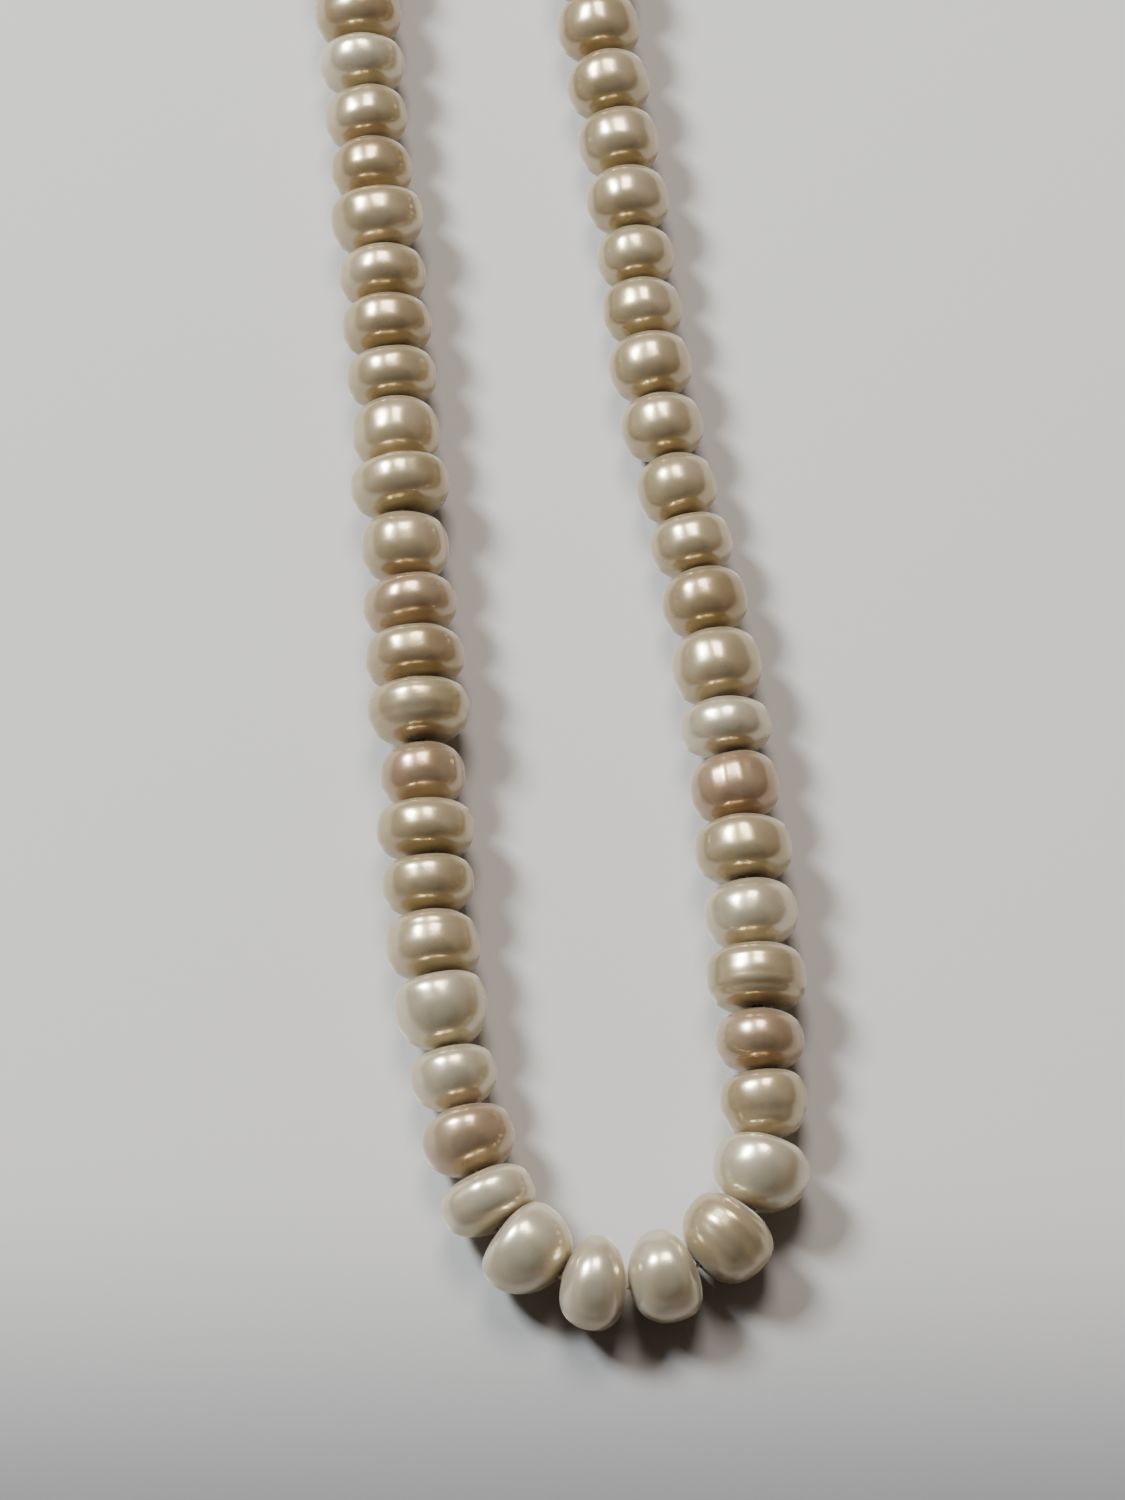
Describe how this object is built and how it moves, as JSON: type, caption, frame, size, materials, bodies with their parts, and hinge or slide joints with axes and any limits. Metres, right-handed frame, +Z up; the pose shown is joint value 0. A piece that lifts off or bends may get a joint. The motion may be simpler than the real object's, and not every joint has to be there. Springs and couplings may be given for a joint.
{
  "type": "pearl necklace",
  "caption": "Single strand of creamy button-shaped freshwater pearls on a thread, laid in a narrow hairpin, with a lobster claw at one end and a catch tag at the other.",
  "frame": {"origin": "on the table, under the centre of the necklace as it lies", "axes": "+Y runs along the two arms, from the bend to the clasp ends; +Z points up from the table; +X is to the right, on the claw side"},
  "size_m": [0.0326, 0.2112, 0.0075],
  "materials": {
    "nacre": "satin nacre with a soft lustre, cream to white with some champagne pearls",
    "thread": "twisted stringing thread, warm yellowish white",
    "silver": "polished sterling silver",
    "spring_steel": "spring steel leaf"
  },
  "bodies": {
    "pearl_24": {"pearl_24": "nacre", "stringing_thread": "thread"},
    "pearl_23": {"pearl_23": "nacre"},
    "pearl_22": {"pearl_22": "nacre"},
    "pearl_21": {"pearl_21": "nacre"},
    "pearl_20": {"pearl_20": "nacre"},
    "pearl_19": {"pearl_19": "nacre"},
    "pearl_18": {"pearl_18": "nacre"},
    "pearl_17": {"pearl_17": "nacre"},
    "pearl_16": {"pearl_16": "nacre"},
    "pearl_15": {"pearl_15": "nacre"},
    "pearl_14": {"pearl_14": "nacre"},
    "pearl_13": {"pearl_13": "nacre"},
    "pearl_12": {"pearl_12": "nacre"},
    "pearl_11": {"pearl_11": "nacre"},
    "pearl_10": {"pearl_10": "nacre"},
    "pearl_09": {"pearl_09": "nacre"},
    "pearl_08": {"pearl_08": "nacre"},
    "pearl_07": {"pearl_07": "nacre"},
    "pearl_06": {"pearl_06": "nacre"},
    "pearl_05": {"pearl_05": "nacre"},
    "pearl_04": {"pearl_04": "nacre"},
    "pearl_03": {"pearl_03": "nacre"},
    "pearl_02": {"pearl_02": "nacre"},
    "pearl_01": {"pearl_01": "nacre"},
    "left_run_1": {"left_run_1": "nacre"},
    "left_run_2": {"left_run_2": "nacre"},
    "left_tip": {"bead_tip_left": "silver"},
    "pearl_25": {"pearl_25": "nacre"},
    "pearl_26": {"pearl_26": "nacre"},
    "pearl_27": {"pearl_27": "nacre"},
    "pearl_28": {"pearl_28": "nacre"},
    "pearl_29": {"pearl_29": "nacre"},
    "pearl_30": {"pearl_30": "nacre"},
    "pearl_31": {"pearl_31": "nacre"},
    "pearl_32": {"pearl_32": "nacre"},
    "pearl_33": {"pearl_33": "nacre"},
    "pearl_34": {"pearl_34": "nacre"},
    "pearl_35": {"pearl_35": "nacre"},
    "pearl_36": {"pearl_36": "nacre"},
    "pearl_37": {"pearl_37": "nacre"},
    "pearl_38": {"pearl_38": "nacre"},
    "pearl_39": {"pearl_39": "nacre"},
    "pearl_40": {"pearl_40": "nacre"},
    "pearl_41": {"pearl_41": "nacre"},
    "pearl_42": {"pearl_42": "nacre"},
    "pearl_43": {"pearl_43": "nacre"},
    "pearl_44": {"pearl_44": "nacre"},
    "pearl_45": {"pearl_45": "nacre"},
    "pearl_46": {"pearl_46": "nacre"},
    "right_run_1": {"right_run_1": "nacre"},
    "right_run_2": {"right_run_2": "nacre"},
    "right_tip": {"bead_tip_right": "silver"},
    "catch_ring": {"catch_ring": "silver"},
    "catch_tag": {"catch_tag": "silver"},
    "claw_ring": {"claw_ring": "silver"},
    "claw": {"claw_body": "silver", "lever_rivet": "silver", "lever_spring": "spring_steel"},
    "claw_lever": {"claw_lever": "silver"}
  },
  "joints": [
    {"name": "catch_ring_turn", "type": "hinge", "parent": "left_tip", "child": "catch_ring", "pos_m": [-0.01315, 0.093, 0.0015], "axis": [0, 0, 1], "range_deg": [-40, 40]},
    {"name": "catch_tag_swing", "type": "hinge", "parent": "catch_ring", "child": "catch_tag", "pos_m": [-0.01321, 0.09481, 0.00235], "axis": [0.9995, 0.0331, 0], "range_deg": [-20, 75]},
    {"name": "claw_ring_turn", "type": "hinge", "parent": "right_tip", "child": "claw_ring", "pos_m": [0.01062, 0.09169, 0.0015], "axis": [0, 0, 1], "range_deg": [-40, 40]},
    {"name": "claw_swing", "type": "hinge", "parent": "claw_ring", "child": "claw", "pos_m": [0.01069, 0.0935, 0.00235], "axis": [0.9992, -0.0403, 0], "range_deg": [-20, 75]},
    {"name": "claw_lever_press", "type": "hinge", "parent": "claw", "child": "claw_lever", "pos_m": [0.01221, 0.09895, 0.0013], "axis": [0, 0, 1], "range_deg": [0, 25], "stiffness_Nm_per_rad": 0.004, "springref_deg": -20.05, "deforming": ["lever_spring", "stringing_thread"]},
    {"name": "gap_23_24_open", "type": "hinge", "parent": "pearl_24", "child": "pearl_23", "pos_m": [-0.00391, -0.10145, 0.00348], "axis": [0, 0, 1], "range_deg": [0, 25]},
    {"name": "gap_22_23_open", "type": "hinge", "parent": "pearl_23", "child": "pearl_22", "pos_m": [-0.00792, -0.09746, 0.0035], "axis": [0, 0, 1], "range_deg": [0, 25]},
    {"name": "gap_21_22_open", "type": "hinge", "parent": "pearl_22", "child": "pearl_21", "pos_m": [-0.0093, -0.09314, 0.00358], "axis": [0, 0, 1], "range_deg": [0, 25]},
    {"name": "gap_20_21_lift", "type": "hinge", "parent": "pearl_21", "child": "pearl_20", "pos_m": [-0.01007, -0.08815, 0.00338], "axis": [0.9912, 0.1325, 0], "range_deg": [0, 15]},
    {"name": "gap_19_20_sway", "type": "hinge", "parent": "pearl_20", "child": "pearl_19", "pos_m": [-0.01061, -0.08343, 0.0033], "axis": [0, 0, 1], "range_deg": [-5, 15]},
    {"name": "gap_18_19_lift", "type": "hinge", "parent": "pearl_19", "child": "pearl_18", "pos_m": [-0.01107, -0.07785, 0.00348], "axis": [-0.9987, -0.0507, 0], "range_deg": [-15, 15]},
    {"name": "gap_17_18_sway", "type": "hinge", "parent": "pearl_18", "child": "pearl_17", "pos_m": [-0.01114, -0.07295, 0.00358], "axis": [0, 0, -1], "range_deg": [-15, 5]},
    {"name": "gap_16_17_lift", "type": "hinge", "parent": "pearl_17", "child": "pearl_16", "pos_m": [-0.01098, -0.06856, 0.0036], "axis": [0.9993, -0.0382, 0], "range_deg": [-15, 15]},
    {"name": "gap_15_16_sway", "type": "hinge", "parent": "pearl_16", "child": "pearl_15", "pos_m": [-0.01081, -0.06416, 0.0034], "axis": [0, 0, 1], "range_deg": [-5.5, 15]},
    {"name": "gap_14_15_lift", "type": "hinge", "parent": "pearl_15", "child": "pearl_14", "pos_m": [-0.0107, -0.05946, 0.00348], "axis": [-0.9998, 0.0181, 0], "range_deg": [-15, 15]},
    {"name": "gap_13_14_sway", "type": "hinge", "parent": "pearl_14", "child": "pearl_13", "pos_m": [-0.01064, -0.05466, 0.00368], "axis": [0, 0, -1], "range_deg": [-15, 6]},
    {"name": "gap_12_13_lift", "type": "hinge", "parent": "pearl_13", "child": "pearl_12", "pos_m": [-0.01064, -0.05026, 0.0036], "axis": [1, 0.0017, 0], "range_deg": [-15, 15]},
    {"name": "gap_11_12_sway", "type": "hinge", "parent": "pearl_12", "child": "pearl_11", "pos_m": [-0.01065, -0.04586, 0.00353], "axis": [0, 0, 1], "range_deg": [-6.5, 15]},
    {"name": "gap_10_11_lift", "type": "hinge", "parent": "pearl_11", "child": "pearl_10", "pos_m": [-0.01064, -0.04056, 0.00353], "axis": [-1, 0.0049, 0], "range_deg": [-15, 15]},
    {"name": "gap_09_10_sway", "type": "hinge", "parent": "pearl_10", "child": "pearl_09", "pos_m": [-0.01061, -0.03616, 0.00342], "axis": [0, 0, -1], "range_deg": [-15, 7]},
    {"name": "gap_08_09_lift", "type": "hinge", "parent": "pearl_09", "child": "pearl_08", "pos_m": [-0.01056, -0.03096, 0.00342], "axis": [1, -0.0054, 0], "range_deg": [-15, 15]},
    {"name": "gap_07_08_sway", "type": "hinge", "parent": "pearl_08", "child": "pearl_07", "pos_m": [-0.01056, -0.02656, 0.0036], "axis": [0, 0, 1], "range_deg": [-7.5, 15]},
    {"name": "gap_06_07_lift", "type": "hinge", "parent": "pearl_07", "child": "pearl_06", "pos_m": [-0.01057, -0.02216, 0.0036], "axis": [-1, -0.0065, 0], "range_deg": [-15, 15]},
    {"name": "gap_05_06_sway", "type": "hinge", "parent": "pearl_06", "child": "pearl_05", "pos_m": [-0.01061, -0.01776, 0.00358], "axis": [0, 0, -1], "range_deg": [-15, 8]},
    {"name": "gap_04_05_lift", "type": "hinge", "parent": "pearl_05", "child": "pearl_04", "pos_m": [-0.01069, -0.01286, 0.00338], "axis": [0.9998, 0.021, 0], "range_deg": [-15, 15]},
    {"name": "gap_03_04_sway", "type": "hinge", "parent": "pearl_04", "child": "pearl_03", "pos_m": [-0.01081, -0.00817, 0.0032], "axis": [0, 0, 1], "range_deg": [-8.5, 15]},
    {"name": "gap_02_03_lift", "type": "hinge", "parent": "pearl_03", "child": "pearl_02", "pos_m": [-0.01084, -0.00347, 0.0034], "axis": [-1, 0.0059, 0], "range_deg": [-15, 15]},
    {"name": "gap_01_02_sway", "type": "hinge", "parent": "pearl_02", "child": "pearl_01", "pos_m": [-0.01076, 0.00093, 0.00353], "axis": [0, 0, -1], "range_deg": [-15, 9.5]},
    {"name": "gap_left_run_1_lift", "type": "hinge", "parent": "pearl_01", "child": "left_run_1", "pos_m": [-0.01078, 0.00623, 0.0036], "axis": [0.9998, 0.0196, 0], "range_deg": [-15, 15]},
    {"name": "gap_left_run_2_sway", "type": "hinge", "parent": "left_run_1", "child": "left_run_2", "pos_m": [-0.01172, 0.04972, 0.00368], "axis": [0, 0, 1], "range_deg": [-15, 15]},
    {"name": "gap_left_tip_lift", "type": "hinge", "parent": "left_run_2", "child": "left_tip", "pos_m": [-0.01299, 0.08825, 0.0036], "axis": [-0.9995, -0.0331, 0], "range_deg": [-15, 15]},
    {"name": "gap_24_25_open", "type": "hinge", "parent": "pearl_24", "child": "pearl_25", "pos_m": [0.0009, -0.10264, 0.0034], "axis": [0, 0, -1], "range_deg": [0, 25]},
    {"name": "gap_25_26_open", "type": "hinge", "parent": "pearl_25", "child": "pearl_26", "pos_m": [0.00607, -0.10148, 0.00333], "axis": [0, 0, -1], "range_deg": [0, 25]},
    {"name": "gap_26_27_open", "type": "hinge", "parent": "pearl_26", "child": "pearl_27", "pos_m": [0.01042, -0.0978, 0.0034], "axis": [0, 0, -1], "range_deg": [0, 25]},
    {"name": "gap_27_28_lift", "type": "hinge", "parent": "pearl_27", "child": "pearl_28", "pos_m": [0.0122, -0.09245, 0.00333], "axis": [0.9856, -0.1693, 0], "range_deg": [0, 15]},
    {"name": "gap_28_29_sway", "type": "hinge", "parent": "pearl_28", "child": "pearl_29", "pos_m": [0.01229, -0.08725, 0.00323], "axis": [0, 0, -1], "range_deg": [-5, 15]},
    {"name": "gap_29_30_lift", "type": "hinge", "parent": "pearl_29", "child": "pearl_30", "pos_m": [0.01256, -0.08256, 0.00348], "axis": [-0.9987, 0.0505, 0], "range_deg": [-15, 15]},
    {"name": "gap_30_31_sway", "type": "hinge", "parent": "pearl_30", "child": "pearl_31", "pos_m": [0.01277, -0.07777, 0.0036], "axis": [0, 0, 1], "range_deg": [-15, 5]},
    {"name": "gap_31_32_lift", "type": "hinge", "parent": "pearl_31", "child": "pearl_32", "pos_m": [0.01285, -0.07247, 0.0036], "axis": [1, 0.0025, 0], "range_deg": [-15, 15]},
    {"name": "gap_32_33_sway", "type": "hinge", "parent": "pearl_32", "child": "pearl_33", "pos_m": [0.01274, -0.06767, 0.0036], "axis": [0, 0, -1], "range_deg": [-5.5, 15]},
    {"name": "gap_33_34_lift", "type": "hinge", "parent": "pearl_33", "child": "pearl_34", "pos_m": [0.01254, -0.06237, 0.00353], "axis": [-0.9994, -0.0359, 0], "range_deg": [-15, 15]},
    {"name": "gap_34_35_sway", "type": "hinge", "parent": "pearl_34", "child": "pearl_35", "pos_m": [0.0124, -0.05797, 0.0035], "axis": [0, 0, 1], "range_deg": [-15, 6]},
    {"name": "gap_35_36_lift", "type": "hinge", "parent": "pearl_35", "child": "pearl_36", "pos_m": [0.01213, -0.05238, 0.00333], "axis": [0.9976, 0.0695, 0], "range_deg": [-15, 15]},
    {"name": "gap_36_37_sway", "type": "hinge", "parent": "pearl_36", "child": "pearl_37", "pos_m": [0.01165, -0.0472, 0.00323], "axis": [0, 0, -1], "range_deg": [-6.5, 15]},
    {"name": "gap_37_38_lift", "type": "hinge", "parent": "pearl_37", "child": "pearl_38", "pos_m": [0.01107, -0.04254, 0.00323], "axis": [-0.9909, -0.1343, 0], "range_deg": [-15, 15]},
    {"name": "gap_38_39_sway", "type": "hinge", "parent": "pearl_38", "child": "pearl_39", "pos_m": [0.01032, -0.03739, 0.00325], "axis": [0, 0, 1], "range_deg": [-15, 7]},
    {"name": "gap_39_40_lift", "type": "hinge", "parent": "pearl_39", "child": "pearl_40", "pos_m": [0.00982, -0.03222, 0.00325], "axis": [0.9974, 0.0726, 0], "range_deg": [-15, 15]},
    {"name": "gap_40_41_sway", "type": "hinge", "parent": "pearl_40", "child": "pearl_41", "pos_m": [0.00956, -0.02703, 0.00323], "axis": [0, 0, -1], "range_deg": [-7.5, 15]},
    {"name": "gap_41_42_lift", "type": "hinge", "parent": "pearl_41", "child": "pearl_42", "pos_m": [0.00945, -0.02233, 0.0032], "axis": [-0.9998, -0.0179, 0], "range_deg": [-15, 15]},
    {"name": "gap_42_43_sway", "type": "hinge", "parent": "pearl_42", "child": "pearl_43", "pos_m": [0.00939, -0.01763, 0.00323], "axis": [0, 0, 1], "range_deg": [-15, 8]},
    {"name": "gap_43_44_lift", "type": "hinge", "parent": "pearl_43", "child": "pearl_44", "pos_m": [0.00923, -0.01243, 0.00325], "axis": [0.9992, 0.0395, 0], "range_deg": [-15, 15]},
    {"name": "gap_44_45_sway", "type": "hinge", "parent": "pearl_44", "child": "pearl_45", "pos_m": [0.00898, -0.00724, 0.00325], "axis": [0, 0, -1], "range_deg": [-9, 15]},
    {"name": "gap_45_46_lift", "type": "hinge", "parent": "pearl_45", "child": "pearl_46", "pos_m": [0.00855, -0.00206, 0.00325], "axis": [-0.9978, -0.0656, 0], "range_deg": [-15, 15]},
    {"name": "gap_right_run_1_sway", "type": "hinge", "parent": "pearl_46", "child": "right_run_1", "pos_m": [0.00831, 0.00314, 0.0035], "axis": [0, 0, 1], "range_deg": [-15, 9.5]},
    {"name": "gap_right_run_2_lift", "type": "hinge", "parent": "right_run_1", "child": "right_run_2", "pos_m": [0.00887, 0.04813, 0.00368], "axis": [0.9997, -0.0254, 0], "range_deg": [-15, 15]},
    {"name": "gap_right_tip_sway", "type": "hinge", "parent": "right_run_2", "child": "right_tip", "pos_m": [0.01043, 0.08695, 0.0036], "axis": [0, 0, -1], "range_deg": [-15, 15]}
  ]
}
